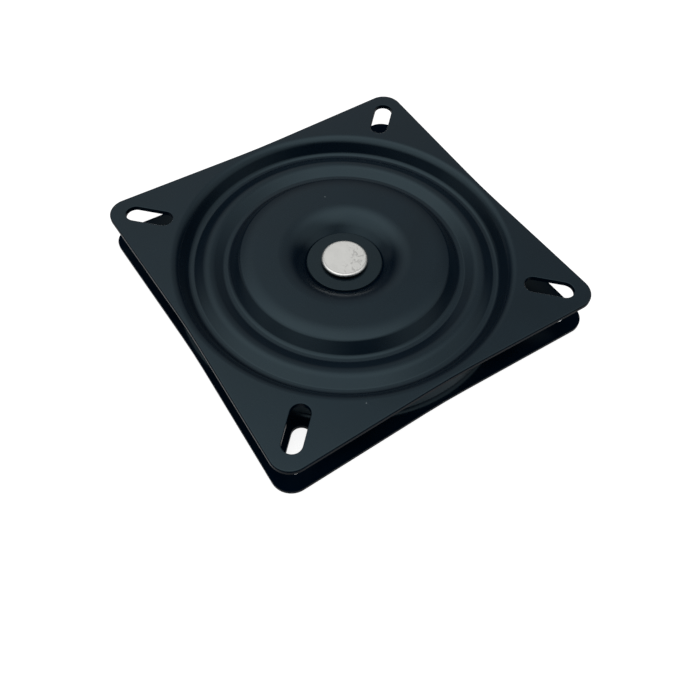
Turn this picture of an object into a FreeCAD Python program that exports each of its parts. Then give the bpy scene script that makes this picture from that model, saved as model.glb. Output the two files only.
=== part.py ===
# Swivel seat base: two alike square pressed steel plates that turn on a ring of caged steel balls,
# held together at the middle by one rivet through a washer on each side.
# Millimetres. +Z is up, the bottom plate rests on z = 0, and Z is the axis that the top plate turns about.
# The corners of the plates, and so the fixing slots, lie on the X and Y axes.
import FreeCAD, Part
import math
import os
from FreeCAD import Vector

# Overall form of one plate
SHEET = 2.5                 # steel thickness
OVERALL_HEIGHT = 23.0       # outer corner face of one plate to that of the other
CORNER_RADIUS = 10.0
EDGE_DRAW_IN = 2.4          # how far pressing the middle has pulled each edge in, at its centre
EDGE_BLEND_RADIUS = 450.0   # the slight bend at the centre of each edge
RIM_ROUND = 1.1             # rounding of the cut edge on the outer side

# Fixing slots, one in each corner, pointing at the centre
SLOT_COUNT = 4
SLOT_WIDTH = 9.5
SLOT_LENGTH = 24.5
SLOT_CENTRE_RADIUS = 102.2
SLOT_TO_CORNER = 12.83      # end of a slot to where the plate's two edges would meet

# Bearing
BALL_DIAMETER = 7.144       # 9/32 inch
BALL_COUNT = 24
BALL_PITCH_RADIUS = 68.4
BALL_CLEARANCE = 0.05       # ball to race, above and below
RACE_RELIEF = 1.4           # the groove's radius over the ball's
RACE_WALL_ANGLE = 26.0      # slope of the race's flanks, from the horizontal
RACE_FOOT_RADIUS = 2.0

# Pressed section, as depths below the corner face, slopes from the horizontal and inside bend radii
OUTER_FLAT_RADIUS = 86.4    # the corner face is flat outside this
OUTER_SHOULDER_RADIUS = 3.0
OUTER_WALL_ANGLE = 60.0
OUTER_FOOT_RADIUS = 2.7
FIELD_DEPTH = 1.0           # the raised middle lies just under the corner face
FIELD_FLAT_RADIUS = 45.0    # the raised middle is flat inside this
CROWN_RADIUS = 23.0         # the middle starts to fall away gently,
CROWN_ANGLE = 16.0
SHOULDER_RADIUS = 0.4       # then turns down sharply
FIELD_WALL_ANGLE = 47.0
FIELD_FOOT_RADIUS = 2.8
DISH_SHOULDER_RADIUS = 1.5
DISH_WALL_ANGLE = 39.0
DISH_FOOT_RADIUS = 0.5
HUB_GAP = 0.2               # running gap between the two plates at the hub

# Rivet and washers
SHANK_DIAMETER = 12.0
PIVOT_CLEARANCE = 0.075     # radial, shank to plate
HEAD_DIAMETER = 23.8
HEAD_THICKNESS = 2.75
HEAD_ROUND = 1.4
FORMED_HEAD_ROUND = 1.8     # the head closed at assembly, under the base, is rounder
WASHER_DIAMETER = 38.0
WASHER_THICKNESS = 1.0
WASHER_CLEARANCE = 0.05     # axial, top washer to top plate, and radial, washers to shank
WASHER_TO_DISH = 0.1        # radial, washer's edge to where the dish's floor starts to rise
WASHER_ROUND = 0.2

# Ball cage
CAGE_THICKNESS = 1.4
CAGE_CLEARANCE = 0.2        # cage to plate, above and below
CAGE_WALL = 1.85            # cage left on either side of a pocket
POCKET_CLEARANCE = 0.15     # radial, ball to pocket

# The square is as large as its slots need: 180 mm here, corner to corner along one edge
PLATE_SIDE = math.sqrt(2) * (SLOT_CENTRE_RADIUS + SLOT_LENGTH / 2 + SLOT_TO_CORNER)
MID_HEIGHT = OVERALL_HEIGHT / 2
BALL_RADIUS = BALL_DIAMETER / 2
POCKET_RADIUS = BALL_RADIUS + POCKET_CLEARANCE
CREST_DEPTH = MID_HEIGHT - BALL_RADIUS - BALL_CLEARANCE - SHEET
VALLEY_DEPTH = MID_HEIGHT - CAGE_THICKNESS / 2 - CAGE_CLEARANCE - SHEET
HUB_DEPTH = MID_HEIGHT - HUB_GAP / 2 - SHEET
PIVOT_HOLE_RADIUS = SHANK_DIAMETER / 2 + PIVOT_CLEARANCE
BLANK_RADIUS = PLATE_SIDE                # a disc that covers the whole square
SAME_POINT = 1e-6                        # two arcs closer than this meet with no straight between
UP = Vector(0, 0, 1)


def slope(degrees):
    return math.tan(math.radians(degrees))


def half_turn(degrees):
    """Tangent of half an angle: the tangent length of a fillet of radius 1 on a bend of that angle."""
    return math.tan(math.radians(degrees) / 2)


def section_corners():
    """Corners of the outer skin as (radius, height below 0, fillet radius), from the pivot hole outwards.

    Every flat ends where its fillet starts, so each corner lies one tangent length past its flat.
    A bend that closes towards the underside is one sheet thickness larger on this skin than inside.
    """
    dish_floor = WASHER_DIAMETER / 2 + WASHER_TO_DISH
    dish_bottom = dish_floor + DISH_FOOT_RADIUS * half_turn(DISH_WALL_ANGLE)
    dish_top = dish_bottom + (HUB_DEPTH - FIELD_DEPTH) / slope(DISH_WALL_ANGLE)
    dish_shoulder = DISH_SHOULDER_RADIUS + SHEET

    crown = CROWN_RADIUS + SHEET
    shoulder = SHOULDER_RADIUS + SHEET
    crown_start = FIELD_FLAT_RADIUS + crown * half_turn(CROWN_ANGLE)
    crown_length = crown * half_turn(CROWN_ANGLE) + shoulder * half_turn(FIELD_WALL_ANGLE - CROWN_ANGLE)
    crown_end = crown_start + crown_length * math.cos(math.radians(CROWN_ANGLE))
    crown_depth = FIELD_DEPTH + crown_length * math.sin(math.radians(CROWN_ANGLE))
    field_foot = crown_end + (VALLEY_DEPTH - crown_depth) / slope(FIELD_WALL_ANGLE)

    race = BALL_RADIUS + RACE_RELIEF + SHEET
    apex_depth = CREST_DEPTH - race * (1 / math.cos(math.radians(RACE_WALL_ANGLE)) - 1)
    race_half_width = (VALLEY_DEPTH - apex_depth) / slope(RACE_WALL_ANGLE)

    outer_shoulder = OUTER_SHOULDER_RADIUS + SHEET
    outer_top = OUTER_FLAT_RADIUS - outer_shoulder * half_turn(OUTER_WALL_ANGLE)
    outer_foot = outer_top - VALLEY_DEPTH / slope(OUTER_WALL_ANGLE)
    return [
        (PIVOT_HOLE_RADIUS, -HUB_DEPTH, 0),
        (dish_bottom, -HUB_DEPTH, DISH_FOOT_RADIUS),
        (dish_top, -FIELD_DEPTH, dish_shoulder),
        (crown_start, -FIELD_DEPTH, crown),
        (crown_end, -crown_depth, shoulder),
        (field_foot, -VALLEY_DEPTH, FIELD_FOOT_RADIUS),
        (BALL_PITCH_RADIUS - race_half_width, -VALLEY_DEPTH, RACE_FOOT_RADIUS),
        (BALL_PITCH_RADIUS, -apex_depth, race),
        (BALL_PITCH_RADIUS + race_half_width, -VALLEY_DEPTH, RACE_FOOT_RADIUS),
        (outer_foot, -VALLEY_DEPTH, OUTER_FOOT_RADIUS),
        (outer_top, 0, outer_shoulder),
        (BLANK_RADIUS, 0, 0),
    ]


def underside(corners, thickness):
    """The same section one sheet thickness lower: parallel lines, and arcs about the same centres."""
    lower = []
    for index, (x, y, radius) in enumerate(corners):
        here = Vector(x, y)
        before = Vector(*corners[index - 1][:2]) if index > 0 else None
        after = Vector(*corners[index + 1][:2]) if index + 1 < len(corners) else None
        along_in = (here - before).normalize() if before else (after - here).normalize()
        along_out = (after - here).normalize() if after else along_in
        down_in = Vector(along_in.y, -along_in.x)
        down_out = Vector(along_out.y, -along_out.x)
        shift = (down_in + down_out) * (thickness / (1 + down_in.dot(down_out)))
        bends_up = along_in.cross(along_out).z > 0
        if radius:
            radius = radius + thickness if bends_up else radius - thickness
        lower.append((x + shift.x, y + shift.y, radius))
    return lower


def rounded_path(corners, closed=False):
    """Edges of a path through corners (x, y, fillet radius), each corner rounded by a tangent arc."""
    count = len(corners)
    stretches = []
    for index, (x, y, radius) in enumerate(corners):
        here = Vector(x, y)
        if not radius:
            stretches.append((here, None, here))
            continue
        to_before = (Vector(*corners[index - 1][:2]) - here).normalize()
        to_after = (Vector(*corners[(index + 1) % count][:2]) - here).normalize()
        half_angle = to_before.getAngle(to_after) / 2
        tangent = radius / math.tan(half_angle)
        to_centre = (to_before + to_after).normalize()
        middle = here + to_centre * (radius / math.sin(half_angle) - radius)
        stretches.append((here + to_before * tangent, middle, here + to_after * tangent))
    edges = []
    for index, (start, middle, end) in enumerate(stretches):
        if middle:
            edges.append(Part.Arc(start, middle, end).toShape())
        last = index + 1 == count
        if last and not closed:
            break
        following = stretches[(index + 1) % count][0]
        if not end.isEqual(following, SAME_POINT):
            edges.append(Part.LineSegment(end, following).toShape())
    return edges


def formed_disc():
    """The pressed sheet before it is trimmed square: its section turned about Z, corner face at z = 0."""
    top = section_corners()
    bottom = underside(top, SHEET)
    edges = rounded_path(top) + rounded_path(bottom)
    for (x, y, _), (lower_x, lower_y, _) in ((top[0], bottom[0]), (top[-1], bottom[-1])):
        edges.append(Part.LineSegment(Vector(x, y), Vector(lower_x, lower_y)).toShape())
    section = Part.Face(Part.Wire(Part.__sortEdges__(edges)))
    section.rotate(Vector(), Vector(1, 0, 0), 90)
    return section.revolve(Vector(), UP, 360)


def square_outline():
    """The trimmed square, its corners on the X and Y axes and its edges drawn in at their centres."""
    corner_radius = PLATE_SIDE / math.sqrt(2)
    edge_radius = PLATE_SIDE / 2 - EDGE_DRAW_IN
    corners = []
    for quarter in range(4):
        angle = math.radians(90 * quarter)
        between = math.radians(90 * quarter + 45)
        corners.append((corner_radius * math.cos(angle), corner_radius * math.sin(angle), CORNER_RADIUS))
        corners.append((edge_radius * math.cos(between), edge_radius * math.sin(between),
                        EDGE_BLEND_RADIUS))
    return Part.Face(Part.Wire(rounded_path(corners, closed=True)))


def slot_outline():
    """One fixing slot on the X axis, with round ends."""
    half_width = SLOT_WIDTH / 2
    reach = SLOT_LENGTH / 2 - half_width
    inner = SLOT_CENTRE_RADIUS - reach
    outer = SLOT_CENTRE_RADIUS + reach
    edges = [
        Part.LineSegment(Vector(inner, -half_width), Vector(outer, -half_width)).toShape(),
        Part.Arc(Vector(outer, -half_width), Vector(outer + half_width, 0),
                 Vector(outer, half_width)).toShape(),
        Part.LineSegment(Vector(outer, half_width), Vector(inner, half_width)).toShape(),
        Part.Arc(Vector(inner, half_width), Vector(inner - half_width, 0),
                 Vector(inner, -half_width)).toShape(),
    ]
    return Part.Face(Part.Wire(edges))


def is_rim(edge):
    """Edges of the corner face: the square's outline and the mouths of the slots."""
    return edge.BoundBox.ZMin > -RIM_ROUND / 2 and edge.BoundBox.Center.Length > OUTER_FLAT_RADIUS


def pressed_plate():
    """One plate with its outer side up and its corner face at z = 0."""
    depth = VALLEY_DEPTH + HUB_DEPTH
    blank = square_outline().extrude(UP * depth)
    blank.translate(UP * (SHEET - depth))
    plate = formed_disc().common(blank)
    slot = slot_outline().extrude(UP * depth)
    slot.translate(UP * (-depth / 2))
    for number in range(SLOT_COUNT):
        cutter = slot.copy()
        cutter.rotate(Vector(), UP, 360 / SLOT_COUNT * number)
        plate = plate.cut(cutter)
    rims = [edge for edge in plate.Edges if is_rim(edge)]
    return plate.makeFillet(RIM_ROUND, rims)


def turned_over(shape):
    """The same piece upside down, turned about X, so that its outer side faces down."""
    other = shape.copy()
    other.rotate(Vector(), Vector(1, 0, 0), 180)
    return other


def washer(bottom):
    """A flat washer with broken edges, its lower face at the given height."""
    ring = Part.makeCylinder(WASHER_DIAMETER / 2, WASHER_THICKNESS, UP * bottom)
    hole = Part.makeCylinder(SHANK_DIAMETER / 2 + WASHER_CLEARANCE, WASHER_THICKNESS, UP * bottom)
    ring = ring.makeFillet(WASHER_ROUND, [edge for edge in ring.Edges if edge.Closed])
    return ring.cut(hole)


def rivet(lower_seat, upper_seat):
    """The centre rivet: a flat head on top, a plain shank, and a rounder closed head below."""
    head_radius = HEAD_DIAMETER / 2
    shank_radius = SHANK_DIAMETER / 2
    top = upper_seat + HEAD_THICKNESS
    base = lower_seat - HEAD_THICKNESS
    outline = [
        (0, base, 0),
        (head_radius, base, FORMED_HEAD_ROUND),
        (head_radius, lower_seat, 0),
        (shank_radius, lower_seat, 0),
        (shank_radius, upper_seat, 0),
        (head_radius, upper_seat, 0),
        (head_radius, top, HEAD_ROUND),
        (0, top, 0),
    ]
    section = Part.Face(Part.Wire(rounded_path(outline, closed=True)))
    section.rotate(Vector(), Vector(1, 0, 0), 90)
    return section.revolve(Vector(), UP, 360)


def around_race(shape, number):
    """A copy of a shape on the X axis, turned to one ball's place."""
    copy = shape.copy()
    copy.rotate(Vector(), UP, 360 / BALL_COUNT * number)
    return copy


def ball_cage():
    """A flat ring with one round pocket for each ball."""
    bottom = UP * (MID_HEIGHT - CAGE_THICKNESS / 2)
    half_width = POCKET_RADIUS + CAGE_WALL
    ring = Part.makeCylinder(BALL_PITCH_RADIUS + half_width, CAGE_THICKNESS, bottom)
    ring = ring.cut(Part.makeCylinder(BALL_PITCH_RADIUS - half_width, CAGE_THICKNESS, bottom))
    centre = bottom + Vector(BALL_PITCH_RADIUS, 0, 0)
    pocket = Part.makeCylinder(POCKET_RADIUS, CAGE_THICKNESS, centre)
    return ring.cut([around_race(pocket, number) for number in range(BALL_COUNT)])


def build():
    """All pieces by node name."""
    plate = pressed_plate()
    upper_plate = plate.copy()
    upper_plate.translate(UP * OVERALL_HEIGHT)
    lower_hub = HUB_DEPTH
    upper_hub = OVERALL_HEIGHT - HUB_DEPTH
    lower_washer_bottom = lower_hub - WASHER_THICKNESS
    upper_washer_bottom = upper_hub + WASHER_CLEARANCE
    nodes = {
        "lower_plate": turned_over(plate),
        "upper_plate": upper_plate,
        "lower_washer": washer(lower_washer_bottom),
        "upper_washer": washer(upper_washer_bottom),
        "centre_rivet": rivet(lower_washer_bottom, upper_washer_bottom + WASHER_THICKNESS),
        "ball_cage": ball_cage(),
    }
    ball = Part.makeSphere(BALL_RADIUS, Vector(BALL_PITCH_RADIUS, 0, MID_HEIGHT))
    for number in range(BALL_COUNT):
        nodes["ball_%02d" % (number + 1)] = around_race(ball, number)
    return nodes


os.makedirs("parts", exist_ok=True)
for name, shape in build().items():
    shape.exportStep(os.path.join("parts", name + ".step"))
    print(name, len(shape.Solids), "solid", "valid" if shape.isValid() else "NOT VALID",
          "%.1f mm3" % shape.Volume)
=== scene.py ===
"""Finished surfaces of a swivel seat base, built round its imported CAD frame.

Lengths are metres in the frame's own axes: +Z is up, the lower plate rests on z = 0, and both plates turn
about Z. Sizes are written in millimetres and turned to metres where the settings are declared.
"""

import math

import bmesh
import bpy
from bpy.props import FloatProperty, FloatVectorProperty, IntProperty, PointerProperty
from mathutils import Matrix, Vector


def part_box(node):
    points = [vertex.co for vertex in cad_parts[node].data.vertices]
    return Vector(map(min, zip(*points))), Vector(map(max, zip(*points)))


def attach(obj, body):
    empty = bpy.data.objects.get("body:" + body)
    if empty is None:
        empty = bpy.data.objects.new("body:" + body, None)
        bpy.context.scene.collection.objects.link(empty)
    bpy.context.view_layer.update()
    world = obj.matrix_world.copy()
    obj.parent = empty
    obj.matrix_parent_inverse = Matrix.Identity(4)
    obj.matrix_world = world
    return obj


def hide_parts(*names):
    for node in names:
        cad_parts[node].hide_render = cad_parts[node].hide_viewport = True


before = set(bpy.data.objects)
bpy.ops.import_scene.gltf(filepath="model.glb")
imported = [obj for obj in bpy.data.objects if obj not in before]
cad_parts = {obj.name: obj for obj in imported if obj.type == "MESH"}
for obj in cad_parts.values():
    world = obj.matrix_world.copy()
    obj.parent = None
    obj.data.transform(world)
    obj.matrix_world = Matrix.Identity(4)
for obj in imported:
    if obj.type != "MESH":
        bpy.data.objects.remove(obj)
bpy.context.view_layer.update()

bl_info = {
    "name": "Swivel Seat Base",
    "version": (1, 0, 0),
    "blender": (4, 5, 0),
    "location": "View3D > Sidebar > Seat Base",
    "description": "Builds the pressed, coated and plated pieces of a swivel seat base round its frame",
    "category": "Object",
}

MM = 0.001
WHITE = (1.0, 1.0, 1.0, 1.0)
SAME_PLACE = MM / 1000              # two points closer than this are one
ARC_STEP = math.radians(5)          # largest turn between two points of an arc
ROUNDING_STEPS = 6                  # bands in the rounding of a cut edge
SHARP_ANGLE = math.radians(35)      # a bend above this is a real edge
POLE = 1e-9                         # a radius below this is a point on the axis
DEGREE = math.radians(1)
SENSOR_WIDTH = 36                   # of the camera, in millimetres
FULL_SHINE = 0.5                    # the shader's own level of reflection
DULLNESS = "dullness"               # a mesh attribute: 0 on an outer face, 1 on a cut edge
INNER_DULLNESS = 0.5                # of the skin between the two plates
DULL_TURN = (math.radians(32), math.radians(58))    # a cut edge's rounding turns dull between these
POLYMER_IOR = 1.53                  # of the black coating and of the nylon
NOISE_MIDDLE = (0.3, 0.7)           # most of a noise lies between these
SCUFF_NOISE = (0.54, 0.62)          # a scuff fades in between these levels of its noise
SCUFFED_HALF = (-1 * MM, 3 * MM)    # and between these places across the rivet
UNSHADED_FACING = (0.1, 0.4)           # the upward part of a normal: painted shade on an upright side gives way to plain zinc, and a head's burnished rim to its dull face
FACE_FACING = (0.9, 0.99)           # and a head's burnished rim to its dull face

# The world's soft lights: heading from +X and elevation of the middle, both in degrees, the angles from
# there at which the light starts to fade and has gone, and its level, where 1 is white.
SOFT_LIGHTS = (
    (221, 68, 0, 56, 1.10),         # the softbox overhead
    (104, 54, 11, 49, 0.38),        # the ceiling beyond
    (114, 44, 0, 16, 0.12),         # a small lamp there
    (184, 5, 28, 38, 0.22),         # a pale wall on the left
    (0, 48, 0, 47, 0.60),           # on the right
)
HORIZON_LEVEL = 0.3
HORIZON_TOP = 1                     # the pale horizon fades above this elevation, in degrees,
WALL_FOOT = 5                       # into walls of this level from this elevation on
WALL_LEVEL = 0.02


# Settings

def linear(hex_colour):
    """An sRGB hex colour as linear red, green, blue and alpha."""
    channels = [int(hex_colour[start:start + 2], 16) / 255 for start in (1, 3, 5)]
    return tuple(c / 12.92 if c <= 0.04045 else ((c + 0.055) / 1.055) ** 2.4 for c in channels) + (1.0,)


def length(name, description, millimetres):
    return FloatProperty(name=name, description=description, default=millimetres * MM, min=0,
                         precision=5, subtype="DISTANCE", unit="LENGTH")


def position(name, description, millimetres):
    return FloatProperty(name=name, description=description, default=millimetres * MM,
                         precision=5, subtype="DISTANCE", unit="LENGTH")


def angle(name, description, degrees):
    return FloatProperty(name=name, description=description, default=math.radians(degrees),
                         subtype="ANGLE", unit="ROTATION")


def share(name, description, default):
    return FloatProperty(name=name, description=description, default=default, min=0, max=1,
                         subtype="FACTOR")


def colour(name, description, hex_colour):
    return FloatVectorProperty(name=name, description=description, default=linear(hex_colour), min=0,
                               max=1, size=4, subtype="COLOR")


class PlateShape(bpy.types.PropertyGroup):
    """One pressed plate: its trimmed square, its slots and its section."""

    around: IntProperty(name="Facets Round", description="Facets in one turn of the pressed rings",
                        default=360, min=24)
    sheet: length("Sheet", "Thickness of the steel", 2.5)
    corner_radius: length("Corner Radius", "Rounding of the square's corners", 10)
    edge_draw_in: length("Edge Draw-in", "How far pressing has pulled each edge in at its centre", 2.4)
    edge_blend_radius: length("Edge Blend", "Radius of the slight bend at the centre of each edge", 450)
    rim_round: length("Rim Rounding", "Rounding of the cut edge on the outer side", 0.8)
    slot_round: length("Slot Rounding", "Rounding of the slots' edges on the outer side", 0.4)
    slot_width: length("Slot Width", "Width of a fixing slot", 9.5)
    slot_length: length("Slot Length", "Length of a fixing slot", 24.5)
    slot_centre_radius: length("Slot Radius", "From the axis to the middle of a slot", 102.2)
    slot_to_corner: length("Slot to Corner", "End of a slot to where the two edges would meet", 12.83)
    crest_depth: length("Race Depth", "Outer face down to the crest over the balls", 5.378)
    race_centre_radius: length("Race Radius", "From the axis to the centre of the ball race", 68.4)
    race_radius: length("Race Groove", "Radius of the groove that the balls run in", 4.972)
    race_wall_angle: angle("Race Slope", "Slope of the race's flanks", 26)
    race_foot_radius: length("Race Foot", "Bend at each foot of the race", 2)
    valley_depth: length("Valley Depth", "Outer face down to the flats beside the race", 8.1)
    outer_flat_radius: length("Flat Outside", "The corner face is flat outside this radius", 86.4)
    outer_shoulder_radius: length("Outer Shoulder", "Inside bend at the top of the outer wall", 3)
    outer_wall_angle: angle("Outer Slope", "Slope of the outer wall", 60)
    outer_foot_radius: length("Outer Foot", "Bend at the foot of the outer wall", 2.7)
    field_depth: length("Middle Depth", "Outer face down to the raised middle", 1)
    field_flat_radius: length("Middle Flat", "The raised middle is flat inside this radius", 45)
    crown_radius: length("Crown", "Gentle bend where the middle starts to fall away", 23)
    crown_angle: angle("Crown Slope", "Slope at the end of that gentle bend", 16)
    shoulder_radius: length("Middle Shoulder", "Sharp inside bend after the crown", 0.4)
    field_wall_angle: angle("Middle Slope", "Slope of the wall round the raised middle", 47)
    field_foot_radius: length("Middle Foot", "Bend at the foot of that wall", 2.8)
    dish_floor_radius: length("Dish Floor", "Flat floor of the hub's dish", 19.1)
    dish_depth: length("Dish Depth", "Outer face down to the floor of the dish", 8.9)
    dish_shoulder_radius: length("Dish Shoulder", "Inside bend at the mouth of the dish", 14)
    dish_wall_angle: angle("Dish Slope", "Slope of the dish's wall", 45)
    dish_foot_radius: length("Dish Foot", "Bend round the floor of the dish", 0.5)
    pivot_hole_radius: length("Pivot Hole", "Radius of the hole for the rivet's shank", 6.075)


class HubShape(bpy.types.PropertyGroup):
    """The centre rivet and its two washers."""

    around: IntProperty(name="Facets Round", description="Facets in one turn of the rivet and washers",
                        default=192, min=24)
    head_round: length("Head Rounding", "Rounding of the upper head's edge", 1.4)
    formed_head_round: length("Closed Head Rounding", "Rounding of the head closed at assembly", 1.8)
    shank_radius: length("Shank Radius", "Radius of the rivet's shank", 6)
    washer_round: length("Washer Rounding", "Rounding of the washers' stamped edges", 0.2)
    washer_clearance: length("Washer Clearance", "Radial play of the washers on the shank", 0.05)


class Finishes(bpy.types.PropertyGroup):
    """Colours and wear of the surfaces."""

    coating: colour("Coating", "Black coating of the plates, under its shine", "#000D1B")
    washer_coating: colour("Washer Coating", "Black coating of the washers", "#020E18")
    coating_shine: colour("Coating Shine", "Cool tint of the coating's shine", "#D1F4FF")
    coating_roughness: share("Coating Roughness", "Satin of the black coating", 0.27)
    satin_spread: share("Satin Spread", "How far the satin strays from place to place", 0.03)
    cut_edge_shine: share("Cut Edge Shine", "Shine of the thin coating on the cut edges", 0.01)
    tone_patch: length("Tone Patch", "Width of one slightly lighter or darker patch of the coating", 24)
    tone_spread: share("Tone Spread", "How far the coating's tone strays from patch to patch", 0.3)
    sheet_wave: length("Sheet Wave", "Width of one slight wave that pressing leaves in the sheet", 38)
    sheet_wave_height: length("Sheet Wave Height", "Height of such a wave", 0.12)
    peel: length("Orange Peel", "Width of one ripple of the sprayed coating", 1.6)
    peel_height: length("Orange Peel Height", "Height of such a ripple", 0.012)
    dust: colour("Dust", "A dust speck", "#6A7276")
    speck_spacing: length("Speck Spacing", "Spacing of the places where a dust speck may lie", 9)
    speck_size: length("Speck Size", "Radius of a dust speck", 0.35)
    speck_share: share("Speck Share", "Share of those places that hold a speck", 0.07)

    zinc: colour("Zinc", "Zinc plating of the rivet", "#F8F8F5")
    zinc_roughness: share("Zinc Roughness", "Dullness of the zinc plating", 0.68)
    rim_roughness: share("Rim Roughness", "Dullness of the zinc on a head's burnished rim", 0.3)
    zinc_patch: length("Zinc Patch", "Width of one slightly lighter or darker patch of the zinc", 5)
    zinc_spread: share("Zinc Spread", "How far the zinc's tone strays from patch to patch", 0.08)
    zinc_grain: length("Zinc Grain", "Width of one grain of the plating", 0.5)
    zinc_grain_height: length("Zinc Grain Height", "Height of such a grain", 0.01)
    press_mark: length("Press Mark", "Radius of the faint ring that the press tool leaves on a head", 10.65)
    press_mark_width: length("Press Mark Width", "Width of that ring", 0.5)
    scuff: length("Scuff", "Width of a light scuff on a head", 2.6)
    mark_depth: share("Mark Depth", "How much darker the ring and the scuffs are", 0.2)
    # Painted shade, laid on the upright sides of the rivet's heads
    rivet_side_shade: colour("Rivet Side Shade", "Painted shade on the upright sides of the rivet's heads", "#14171A")

    ball_steel: colour("Ball Steel", "Ground and polished balls", "#C4C6C8")
    ball_smear: length("Ball Smear", "Width of one smear of grease on a ball", 2.5)
    ball_roughness: share("Ball Roughness", "Polish of a clean ball", 0.08)
    smear_roughness: share("Smear Roughness", "Dullness of the thickest smear", 0.24)

    nylon: colour("Nylon", "Natural moulded nylon of the cage", "#DEDACE")
    nylon_roughness: share("Nylon Roughness", "Dullness of the moulded skin", 0.42)
    nylon_flow: length("Nylon Flow", "Width of one band of the faint flow pattern", 9)
    nylon_flow_shade: share("Nylon Flow Shade", "How much darker the darkest band is", 0.08)
    nylon_flow_light: share("Nylon Flow Light", "How much lighter the lightest band is", 0.06)
    nylon_grain: length("Nylon Grain", "Width of one grain of the moulded skin", 0.4)
    nylon_grain_height: length("Nylon Grain Height", "Height of such a grain", 0.01)


class Studio(bpy.types.PropertyGroup):
    """Floor, light and camera."""

    floor: colour("Floor", "Plain pale floor", "#B4B4B4")
    floor_lift: share("Floor Lift", "Light that the floor itself adds where it is seen", 0.85)
    floor_size: length("Floor Size", "Side of the floor", 8000)
    light: share("Light Level", "Strength of all the soft lights together", 1)
    camera_lens: length("Camera Lens", "Focal length on a 36 mm sensor", 38.936)
    camera_distance: length("Camera Distance", "From the aimed point to the camera", 373.28)
    camera_heading: angle("Camera Heading", "Turn of the camera about Z from +X", -81.44)
    camera_elevation: angle("Camera Elevation", "Height of the camera over the horizon", 56.37)
    camera_roll: angle("Camera Roll", "Turn of the camera about its own line of sight", 3.558)
    aim_x: position("Aim X", "Point on the floor that the camera aims at", 12.10)
    aim_y: position("Aim Y", "Point on the floor that the camera aims at", -42.77)


class SeatBaseSettings(bpy.types.PropertyGroup):
    """All settings of the seat base."""

    plate: PointerProperty(type=PlateShape)
    hub: PointerProperty(type=HubShape)
    finishes: PointerProperty(type=Finishes)
    studio: PointerProperty(type=Studio)


# Shapes

def half_turn(turn):
    """Tangent length of a fillet of radius 1 on a bend of that turn."""
    return math.tan(turn / 2)


def section_corners(plate):
    """Corners of the outer skin as (radius, height, fillet radius), from the pivot hole outwards.

    A bend that closes towards the underside is one sheet thickness larger on this skin than inside.
    """
    dish_bottom = plate.dish_floor_radius + plate.dish_foot_radius * half_turn(plate.dish_wall_angle)
    dish_top = dish_bottom + (plate.dish_depth - plate.field_depth) / math.tan(plate.dish_wall_angle)

    crown = plate.crown_radius + plate.sheet
    shoulder = plate.shoulder_radius + plate.sheet
    crown_start = plate.field_flat_radius + crown * half_turn(plate.crown_angle)
    crown_length = (crown * half_turn(plate.crown_angle)
                    + shoulder * half_turn(plate.field_wall_angle - plate.crown_angle))
    crown_end = crown_start + crown_length * math.cos(plate.crown_angle)
    crown_depth = plate.field_depth + crown_length * math.sin(plate.crown_angle)
    field_foot = crown_end + (plate.valley_depth - crown_depth) / math.tan(plate.field_wall_angle)

    race = plate.race_radius + plate.sheet
    apex_depth = plate.crest_depth - race * (1 / math.cos(plate.race_wall_angle) - 1)
    race_half_width = (plate.valley_depth - apex_depth) / math.tan(plate.race_wall_angle)

    outer_shoulder = plate.outer_shoulder_radius + plate.sheet
    outer_top = plate.outer_flat_radius - outer_shoulder * half_turn(plate.outer_wall_angle)
    outer_foot = outer_top - plate.valley_depth / math.tan(plate.outer_wall_angle)
    return [
        (plate.pivot_hole_radius, -plate.dish_depth, 0),
        (dish_bottom, -plate.dish_depth, plate.dish_foot_radius),
        (dish_top, -plate.field_depth, plate.dish_shoulder_radius + plate.sheet),
        (crown_start, -plate.field_depth, crown),
        (crown_end, -crown_depth, shoulder),
        (field_foot, -plate.valley_depth, plate.field_foot_radius),
        (plate.race_centre_radius - race_half_width, -plate.valley_depth, plate.race_foot_radius),
        (plate.race_centre_radius, -apex_depth, race),
        (plate.race_centre_radius + race_half_width, -plate.valley_depth, plate.race_foot_radius),
        (outer_foot, -plate.valley_depth, plate.outer_foot_radius),
        (outer_top, 0, outer_shoulder),
        (plate.outer_flat_radius + outer_shoulder, 0, 0),
    ]


def underside(corners, thickness):
    """The same section one sheet thickness lower: parallel lines, and arcs about the same centres."""
    lower = []
    for index, (x, y, radius) in enumerate(corners):
        here = Vector((x, y))
        along_in = (here - Vector(corners[index - 1][:2])).normalized() if index else None
        last = index + 1 == len(corners)
        along_out = along_in if last else (Vector(corners[index + 1][:2]) - here).normalized()
        along_in = along_in or along_out
        down_in = Vector((along_in.y, -along_in.x))
        down_out = Vector((along_out.y, -along_out.x))
        shift = (down_in + down_out) * (thickness / (1 + down_in.dot(down_out)))
        bends_up = along_in.cross(along_out) > 0
        if radius:
            radius = radius + thickness if bends_up else radius - thickness
        lower.append((x + shift.x, y + shift.y, radius))
    return lower


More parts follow.
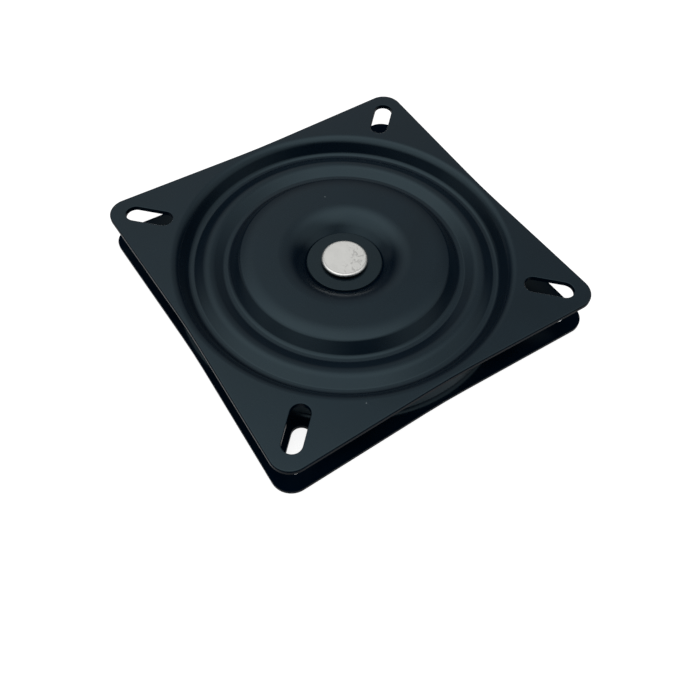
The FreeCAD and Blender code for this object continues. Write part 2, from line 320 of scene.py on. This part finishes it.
def rounded_path(corners, closed=False):
    """Points of a path through corners (x, y, fillet radius), each corner rounded by a tangent arc."""
    points = []
    for index, (x, y, radius) in enumerate(corners):
        here = Vector((x, y))
        if not radius:
            points.append(here)
            continue
        to_before = (Vector(corners[index - 1][:2]) - here).normalized()
        to_after = (Vector(corners[(index + 1) % len(corners)][:2]) - here).normalized()
        half_angle = to_before.angle(to_after) / 2
        tangent = radius / math.tan(half_angle)
        centre = here + (to_before + to_after).normalized() * (radius / math.sin(half_angle))
        start = here + to_before * tangent - centre
        end = here + to_after * tangent - centre
        first = math.atan2(start.y, start.x)
        turn = math.remainder(math.atan2(end.y, end.x) - first, math.tau)
        steps = max(2, math.ceil(abs(turn) / ARC_STEP))
        for step in range(steps + 1):
            bearing = first + turn * step / steps
            points.append(centre + Vector((math.cos(bearing), math.sin(bearing))) * radius)
    kept = [points[0]]
    for point in points[1:]:
        if (point - kept[-1]).length > SAME_PLACE:
            kept.append(point)
    if closed and (kept[0] - kept[-1]).length < SAME_PLACE:
        kept.pop()
    return kept


def square_outline(plate):
    """The trimmed square, its corners on the X and Y axes and its edges drawn in at their centres."""
    corner = plate.slot_centre_radius + plate.slot_length / 2 + plate.slot_to_corner
    edge = corner / math.sqrt(2) - plate.edge_draw_in
    corners = []
    for quarter in range(4):
        at = quarter * math.pi / 2
        between = at + math.pi / 4
        corners.append((corner * math.cos(at), corner * math.sin(at), plate.corner_radius))
        corners.append((edge * math.cos(between), edge * math.sin(between), plate.edge_blend_radius))
    return rounded_path(corners, closed=True)


def slot_outline(plate, quarter):
    """One fixing slot with round ends, pointing at the axis."""
    half_width = plate.slot_width / 2
    reach = plate.slot_length / 2 - half_width
    turn = Matrix.Rotation(quarter * math.pi / 2, 2)
    points = []
    for side in (1, -1):
        end = plate.slot_centre_radius + side * reach
        steps = math.ceil(math.pi / ARC_STEP)
        for step in range(steps + 1):
            bearing = side * math.pi / 2 - math.pi / 2 + math.pi * (step / steps - 0.5)
            points.append(turn @ Vector((end + half_width * math.cos(bearing),
                                         half_width * math.sin(bearing))))
    return points


def turned(mesh, profile, around):
    """Turns (radius, height) points about Z into a skin, and returns its rings of vertices."""
    rings = []
    for radius, height in profile:
        if radius < POLE:
            rings.append([mesh.verts.new((0, 0, height))] * around)
            continue
        bearings = [math.tau * number / around for number in range(around)]
        rings.append([mesh.verts.new((radius * math.cos(b), radius * math.sin(b), height))
                      for b in bearings])
    for inner, outer in zip(rings, rings[1:]):
        join_rings(mesh, inner, outer)
    return rings


def join_rings(mesh, first, second):
    """A band of faces between two closed rings with the same number of vertices."""
    for number in range(len(first)):
        corners = (first[number - 1], second[number - 1], second[number], first[number])
        mesh.faces.new(tuple(dict.fromkeys(corners)))


def sheared_edge(mesh, dullness, loop, outward, rounding, thickness):
    """The cut edge of the sheet along a closed loop: rounded at the top, square at the bottom.

    Returns the rings of vertices that bound the top face and the underside. The steel lies on the side of
    the loop that faces away from outward.
    """
    normals = []
    for number, point in enumerate(loop):
        along = (loop[(number + 1) % len(loop)] - loop[number - 1]).normalized()
        normals.append(Vector((along.y, -along.x)) * outward)
    rings = []
    for step in range(ROUNDING_STEPS + 1):
        bearing = math.pi / 2 * step / ROUNDING_STEPS
        inset = rounding * (1 - math.sin(bearing))
        height = -rounding * (1 - math.cos(bearing))
        rings.append([mesh.verts.new((*(point - normal * inset), height))
                      for point, normal in zip(loop, normals)])
        turned_dull = (bearing - DULL_TURN[0]) / (DULL_TURN[1] - DULL_TURN[0])
        for vertex in rings[-1]:
            vertex[dullness] = min(1, max(0, turned_dull))
    rings.append([mesh.verts.new((*point, -thickness)) for point in loop])
    for vertex in rings[-1]:
        vertex[dullness] = 1
    for upper, lower in zip(rings, rings[1:]):
        join_rings(mesh, upper, lower)
    return rings[0], rings[-1]


def ring_edges(mesh, ring):
    """The edges round a closed ring of vertices, made where they are missing."""
    edges = []
    for number in range(len(ring)):
        pair = (ring[number - 1], ring[number])
        edges.append(mesh.edges.get(pair) or mesh.edges.new(pair))
    return edges


def pressed_plate(plate):
    """One plate as a bmesh, its outer side up and its corner face at z = 0."""
    mesh = bmesh.new()
    dullness = mesh.verts.layers.float.new(DULLNESS)
    outer = section_corners(plate)
    skins = []
    for corners in (outer, underside(outer, plate.sheet)):
        path = rounded_path(corners)
        pressed = [point for point in path if point.x < plate.outer_flat_radius + SAME_PLACE]
        skins.append(turned(mesh, pressed, plate.around))
    for ring in skins[1]:
        for vertex in ring:
            vertex[dullness] = INNER_DULLNESS
    join_rings(mesh, skins[0][0], skins[1][0])

    top_edges = ring_edges(mesh, skins[0][-1])
    bottom_edges = ring_edges(mesh, skins[1][-1])
    loops = [(square_outline(plate), 1, plate.rim_round)]
    loops += [(slot_outline(plate, quarter), -1, plate.slot_round) for quarter in range(4)]
    for loop, outward, rounding in loops:
        top, bottom = sheared_edge(mesh, dullness, loop, outward, rounding, plate.sheet)
        top_edges += ring_edges(mesh, top)
        bottom_edges += ring_edges(mesh, bottom)
    bmesh.ops.triangle_fill(mesh, use_beauty=True, edges=top_edges)
    bmesh.ops.triangle_fill(mesh, use_beauty=True, edges=bottom_edges)
    return mesh


def made_piece(name, mesh, material, body, node):
    """Turns a bmesh into a shaded piece that rides on a body, and hides the CAD node that it takes the
    place of.
    """
    bmesh.ops.recalc_face_normals(mesh, faces=mesh.faces)
    for face in mesh.faces:
        face.smooth = True
    for edge in mesh.edges:
        edge.smooth = edge.calc_face_angle(0) < SHARP_ANGLE
    data = bpy.data.meshes.new(name)
    mesh.to_mesh(data)
    mesh.free()
    data.materials.append(material)
    piece = bpy.data.objects.new(name, data)
    bpy.context.scene.collection.objects.link(piece)
    shading = piece.modifiers.new("Flats keep their own shading", "WEIGHTED_NORMAL")
    shading.keep_sharp = True
    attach(piece, body)
    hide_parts(node)


# Materials

def add_node(tree, kind, inputs=None, **settings):
    """Adds a node. Settings are its own properties; an input is a value or another node's output."""
    made = tree.nodes.new("ShaderNode" + kind)
    for key, value in settings.items():
        setattr(made, key, value)
    for key, value in (inputs or {}).items():
        if isinstance(value, bpy.types.NodeSocket):
            tree.links.new(value, made.inputs[key])
        else:
            made.inputs[key].default_value = value
    return made


def new_material(name):
    """An empty node material, its node tree and the object's own coordinates."""
    material = bpy.data.materials.new(name)
    material.use_nodes = True
    tree = material.node_tree
    tree.nodes.clear()
    return material, tree, add_node(tree, "TexCoord").outputs["Object"]


def noise(tree, place, width, detail, distortion=0.0):
    """Noise from 0 to 1, with blotches of that width."""
    made = add_node(tree, "TexNoise", {"Vector": place, "Scale": 1 / width, "Detail": detail,
                                       "Distortion": distortion})
    return made.outputs["Fac"]


def remapped(tree, value, low, high, first=0.0, last=1.0):
    """A value turned from first .. last into low .. high, and held there outside."""
    made = add_node(tree, "MapRange", {"Value": value, "From Min": first, "From Max": last,
                                       "To Min": low, "To Max": high})
    return made.outputs["Result"]


def computed(tree, operation, *values):
    """The result of one arithmetic step."""
    return add_node(tree, "Math", dict(enumerate(values)), operation=operation).outputs["Value"]


def mixed(tree, factor, first, second, blend="MIX"):
    """Two colours mixed by a factor."""
    made = add_node(tree, "Mix", {"Factor": factor, "A": first, "B": second},
                    data_type="RGBA", blend_type=blend)
    return made.outputs["Result"]


def raised(tree, pattern, height, over=None):
    """A normal that follows a pattern of that height, over another normal."""
    inputs = {"Height": pattern, "Strength": 1.0, "Distance": height}
    if over is not None:
        inputs["Normal"] = over
    return add_node(tree, "Bump", inputs).outputs["Normal"]


def parts_of(tree, vector):
    """The X, Y and Z of a vector."""
    return add_node(tree, "SeparateXYZ", {"Vector": vector}).outputs


def from_axis(tree, place):
    """The distance of a point from the swivel axis."""
    level = add_node(tree, "VectorMath", {0: place, 1: (1.0, 1.0, 0.0)}, operation="MULTIPLY")
    return add_node(tree, "VectorMath", {0: level.outputs["Vector"]}, operation="LENGTH").outputs["Value"]


def dust_specks(tree, place, finishes):
    """1 on a few scattered specks and 0 elsewhere."""
    cell = add_node(tree, "TexVoronoi", {"Vector": place, "Scale": 1 / finishes.speck_spacing})
    reach = finishes.speck_size / finishes.speck_spacing
    near = computed(tree, "LESS_THAN", cell.outputs["Distance"], reach)
    draw = add_node(tree, "SeparateColor", {"Color": cell.outputs["Color"]}).outputs["Red"]
    drawn = computed(tree, "GREATER_THAN", draw, 1 - finishes.speck_share)
    return computed(tree, "MULTIPLY", near, drawn)


def finish_material(tree, inputs):
    """Adds the surface shader and the output."""
    surface = add_node(tree, "BsdfPrincipled", inputs)
    add_node(tree, "OutputMaterial", {"Surface": surface.outputs["BSDF"]})


def coated_steel(name, base, finishes):
    """Pressed steel with a black electrophoretic coating: an even satin film with a slight orange peel.

    The film shines softly, follows the slight waves of the pressed sheet and holds a few dust specks. It is
    thin and dull on the cut edges and inside.
    """
    material, tree, place = new_material(name)
    patches = noise(tree, place, finishes.tone_patch, 4.0)
    tone = remapped(tree, patches, 1 - finishes.tone_spread, 1 + finishes.tone_spread)
    film = mixed(tree, 1.0, base, tone, "MULTIPLY")
    shown = mixed(tree, dust_specks(tree, place, finishes), film, tuple(finishes.dust))

    satin = finishes.coating_roughness
    spread = finishes.satin_spread
    roughness = remapped(tree, patches, satin - spread, satin + spread, *NOISE_MIDDLE)
    dullness = add_node(tree, "Attribute", attribute_name=DULLNESS).outputs["Fac"]
    shine = remapped(tree, dullness, FULL_SHINE, finishes.cut_edge_shine)

    waves = noise(tree, place, finishes.sheet_wave, 1.0)
    ripples = noise(tree, place, finishes.peel, 2.0)
    waved = raised(tree, waves, finishes.sheet_wave_height)
    finish_material(tree, {"Base Color": shown, "Roughness": roughness, "IOR": POLYMER_IOR,
                           "Specular IOR Level": shine, "Specular Tint": tuple(finishes.coating_shine),
                           "Normal": raised(tree, ripples, finishes.peel_height, waved)})
    return material


def zinc_plated_steel(finishes):
    """Cold headed steel with bright zinc plating.

    A head has a faint ring from the press tool, light scuffs on one half and a burnished rim, and painted
    shade darkens its upright side.
    """
    material, tree, place = new_material("zinc_plated_steel")
    patches = noise(tree, place, finishes.zinc_patch, 3.0)
    tone = remapped(tree, patches, 1 - finishes.zinc_spread, 1 + finishes.zinc_spread)
    ring = computed(tree, "COMPARE", from_axis(tree, place), finishes.press_mark,
                    finishes.press_mark_width / 2)
    rubbed = remapped(tree, noise(tree, place, finishes.scuff, 2.0, 1.0), 0.0, 1.0, *SCUFF_NOISE)
    half = remapped(tree, parts_of(tree, place)["X"], 0.0, 1.0, *SCUFFED_HALF)
    marks = computed(tree, "MAXIMUM", ring, computed(tree, "MULTIPLY", rubbed, half))
    marked = computed(tree, "MULTIPLY_ADD", marks, -finishes.mark_depth, tone)
    plated = mixed(tree, 1.0, tuple(finishes.zinc), marked, "MULTIPLY")

    facing = parts_of(tree, add_node(tree, "NewGeometry").outputs["Normal"])
    upward = computed(tree, "ABSOLUTE", facing["Z"])
    # Painted shade: the further a face turns from upward to upright, the more it takes the dark shade
    # colour; clean is 1 where the zinc is left unshaded
    clean = remapped(tree, upward, 0.0, 1.0, *UNSHADED_FACING)
    roughness = remapped(tree, upward, finishes.rim_roughness, finishes.zinc_roughness, *FACE_FACING)
    grain = noise(tree, place, finishes.zinc_grain, 3.0)
    finish_material(tree, {"Base Color": mixed(tree, clean, tuple(finishes.rivet_side_shade), plated),
                           "Metallic": 1.0, "Roughness": roughness,
                           "Normal": raised(tree, grain, finishes.zinc_grain_height)})
    return material


def polished_ball_steel(finishes):
    """Hardened bearing steel, ground and polished, under a thin smear of grease."""
    material, tree, place = new_material("polished_ball_steel")
    smear = noise(tree, place, finishes.ball_smear, 2.0)
    roughness = remapped(tree, smear, finishes.ball_roughness, finishes.smear_roughness)
    finish_material(tree, {"Base Color": tuple(finishes.ball_steel), "Metallic": 1.0,
                           "Roughness": roughness})
    return material


def moulded_nylon(finishes):
    """Natural nylon, injection moulded: warm off-white with a soft shine and a faint flow pattern."""
    material, tree, place = new_material("moulded_nylon")
    flow = noise(tree, place, finishes.nylon_flow, 2.0)
    tone = remapped(tree, flow, 1 - finishes.nylon_flow_shade, 1 + finishes.nylon_flow_light)
    grain = noise(tree, place, finishes.nylon_grain, 1.0)
    finish_material(tree, {"Base Color": mixed(tree, 1.0, tuple(finishes.nylon), tone, "MULTIPLY"),
                           "Roughness": finishes.nylon_roughness, "IOR": POLYMER_IOR,
                           "Normal": raised(tree, grain, finishes.nylon_grain_height)})
    return material


def dress_node(name, material):
    """Gives a CAD node its finished material."""
    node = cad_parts[name]
    node.data.materials.clear()
    node.data.materials.append(material)


# Operators

class SEATBASE_OT_pressed_plates(bpy.types.Operator):
    """Make the two pressed and coated plates"""

    bl_idname = "seat_base.pressed_plates"
    bl_label = "Pressed Plates"

    def execute(self, context):
        settings = context.scene.seat_base
        finishes = settings.finishes
        material = coated_steel("black_coated_steel", tuple(finishes.coating), finishes)
        upper = pressed_plate(settings.plate)
        lower = upper.copy()
        upper.transform(Matrix.Translation((0, 0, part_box("upper_plate")[1].z)))
        lower.transform(Matrix.Rotation(math.pi, 4, "X"))
        made_piece("upper_pressed_plate", upper, material, "top", "upper_plate")
        made_piece("lower_pressed_plate", lower, material, "base", "lower_plate")
        return {"FINISHED"}


class SEATBASE_OT_centre_rivet(bpy.types.Operator):
    """Make the plated centre rivet"""

    bl_idname = "seat_base.centre_rivet"
    bl_label = "Centre Rivet"

    def execute(self, context):
        settings = context.scene.seat_base
        hub = settings.hub
        lowest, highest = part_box("centre_rivet")
        lower_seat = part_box("lower_washer")[0].z
        upper_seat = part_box("upper_washer")[1].z
        outline = [
            (0, lowest.z, 0),
            (highest.x, lowest.z, hub.formed_head_round),
            (highest.x, lower_seat, 0),
            (hub.shank_radius, lower_seat, 0),
            (hub.shank_radius, upper_seat, 0),
            (highest.x, upper_seat, 0),
            (highest.x, highest.z, hub.head_round),
            (0, highest.z, 0),
        ]
        mesh = bmesh.new()
        turned(mesh, rounded_path(outline), hub.around)
        made_piece("plated_centre_rivet", mesh, zinc_plated_steel(settings.finishes), "base",
                   "centre_rivet")
        return {"FINISHED"}


class SEATBASE_OT_washers(bpy.types.Operator):
    """Make the two coated washers"""

    bl_idname = "seat_base.washers"
    bl_label = "Washers"

    def execute(self, context):
        settings = context.scene.seat_base
        hub = settings.hub
        finishes = settings.finishes
        material = coated_steel("black_washer_steel", tuple(finishes.washer_coating), finishes)
        for node in ("upper_washer", "lower_washer"):
            lowest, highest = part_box(node)
            bore = hub.shank_radius + hub.washer_clearance
            outline = [
                (bore, lowest.z, 0),
                (highest.x, lowest.z, hub.washer_round),
                (highest.x, highest.z, hub.washer_round),
                (bore, highest.z, 0),
            ]
            mesh = bmesh.new()
            rings = turned(mesh, rounded_path(outline), hub.around)
            join_rings(mesh, rings[-1], rings[0])
            made_piece("coated_" + node, mesh, material, "base", node)
        return {"FINISHED"}


class SEATBASE_OT_ball_ring(bpy.types.Operator):
    """Finish the balls and their cage"""

    bl_idname = "seat_base.ball_ring"
    bl_label = "Ball Ring"

    def execute(self, context):
        finishes = context.scene.seat_base.finishes
        steel = polished_ball_steel(finishes)
        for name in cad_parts:
            if name.startswith("ball_") and name != "ball_cage":
                dress_node(name, steel)
        dress_node("ball_cage", moulded_nylon(finishes))
        return {"FINISHED"}


class SEATBASE_OT_stage(bpy.types.Operator):
    """Set the floor, the light and the camera"""

    bl_idname = "seat_base.stage"
    bl_label = "Stage"

    def execute(self, context):
        studio = context.scene.seat_base.studio
        scene = context.scene
        scene.view_settings.view_transform = "Standard"
        make_floor(scene, studio)
        make_light(scene, studio)
        make_camera(scene, studio)
        return {"FINISHED"}


def make_floor(scene, studio):
    """A plain pale floor that the lower plate rests on."""
    half = studio.floor_size / 2
    data = bpy.data.meshes.new("floor")
    data.from_pydata([(-half, -half, 0), (half, -half, 0), (half, half, 0), (-half, half, 0)], [],
                     [(0, 1, 2, 3)])
    floor = bpy.data.objects.new("floor", data)
    scene.collection.objects.link(floor)

    material = bpy.data.materials.new("pale_floor")
    material.use_nodes = True
    tree = material.node_tree
    tree.nodes.clear()
    lit = add_node(tree, "BsdfDiffuse", {"Color": tuple(studio.floor)})
    ray = add_node(tree, "LightPath").outputs
    seen = computed(tree, "MAXIMUM", ray["Is Camera Ray"], ray["Is Glossy Ray"])
    seen = computed(tree, "MAXIMUM", seen, ray["Is Transmission Ray"])
    lift = computed(tree, "MULTIPLY", seen, studio.floor_lift)
    glow = add_node(tree, "Emission", {"Color": WHITE, "Strength": lift})
    both = add_node(tree, "AddShader", {0: lit.outputs["BSDF"], 1: glow.outputs["Emission"]})
    add_node(tree, "OutputMaterial", {"Surface": both.outputs["Shader"]})
    data.materials.append(material)


def make_light(scene, studio):
    """Broad soft lights over dim walls and a pale horizon, all parts of the world."""
    world = bpy.data.worlds.new("soft_studio")
    scene.world = world
    world.use_nodes = True
    tree = world.node_tree
    tree.nodes.clear()
    direction = add_node(tree, "TexCoord").outputs["Generated"]
    level = add_node(tree, "MapRange", {
        "Value": parts_of(tree, direction)["Z"],
        "From Min": math.sin(HORIZON_TOP * DEGREE), "From Max": math.sin(WALL_FOOT * DEGREE),
        "To Min": HORIZON_LEVEL, "To Max": WALL_LEVEL}, interpolation_type="SMOOTHSTEP").outputs["Result"]
    for heading, elevation, core, reach, strength in SOFT_LIGHTS:
        flat = math.cos(elevation * DEGREE)
        axis = (flat * math.cos(heading * DEGREE), flat * math.sin(heading * DEGREE),
                math.sin(elevation * DEGREE))
        nearness = add_node(tree, "VectorMath", {0: direction, 1: axis}, operation="DOT_PRODUCT")
        glow = add_node(tree, "MapRange", {
            "Value": nearness.outputs["Value"], "From Min": math.cos(reach * DEGREE),
            "From Max": math.cos(core * DEGREE), "To Min": 0.0, "To Max": strength},
            interpolation_type="SMOOTHSTEP")
        level = computed(tree, "ADD", level, glow.outputs["Result"])
    total = computed(tree, "MULTIPLY", level, studio.light)
    sky = add_node(tree, "Background", {"Color": WHITE, "Strength": total})
    add_node(tree, "OutputWorld", {"Surface": sky.outputs["Background"]})


def make_camera(scene, studio):
    """The camera at the viewing angle of the reference."""
    aim = Vector((studio.aim_x, studio.aim_y, 0))
    level = math.cos(studio.camera_elevation)
    back = Vector((level * math.cos(studio.camera_heading), level * math.sin(studio.camera_heading),
                   math.sin(studio.camera_elevation)))
    right = (-back).cross(Vector((0, 0, 1))).normalized()
    up = right.cross(-back)
    rolled_right = right * math.cos(studio.camera_roll) + up * math.sin(studio.camera_roll)
    rolled_up = up * math.cos(studio.camera_roll) - right * math.sin(studio.camera_roll)
    data = bpy.data.cameras.new("camera")
    data.sensor_width = SENSOR_WIDTH
    data.lens = studio.camera_lens / MM
    data.clip_start = 10 * MM
    camera = bpy.data.objects.new("camera", data)
    scene.collection.objects.link(camera)
    place = Matrix((rolled_right, rolled_up, back)).transposed().to_4x4()
    place.translation = aim + back * studio.camera_distance
    camera.matrix_world = place
    scene.camera = camera


class SEATBASE_PT_panel(bpy.types.Panel):
    """Lists the pieces of the seat base."""

    bl_label = "Seat Base"
    bl_idname = "SEATBASE_PT_panel"
    bl_space_type = "VIEW_3D"
    bl_region_type = "UI"
    bl_category = "Seat Base"

    def draw(self, context):
        for operator in OPERATORS:
            self.layout.operator(operator.bl_idname)


OPERATORS = (
    SEATBASE_OT_pressed_plates,
    SEATBASE_OT_centre_rivet,
    SEATBASE_OT_washers,
    SEATBASE_OT_ball_ring,
    SEATBASE_OT_stage,
)
CLASSES = (PlateShape, HubShape, Finishes, Studio, SeatBaseSettings, *OPERATORS, SEATBASE_PT_panel)


def register():
    for cls in CLASSES:
        bpy.utils.register_class(cls)
    bpy.types.Scene.seat_base = PointerProperty(type=SeatBaseSettings)


def unregister():
    del bpy.types.Scene.seat_base
    for cls in reversed(CLASSES):
        bpy.utils.unregister_class(cls)


def main():
    register()
    bpy.ops.seat_base.pressed_plates()
    bpy.ops.seat_base.centre_rivet()
    bpy.ops.seat_base.washers()
    bpy.ops.seat_base.ball_ring()
    bpy.ops.seat_base.stage()


if __name__ == "__main__":
    main()
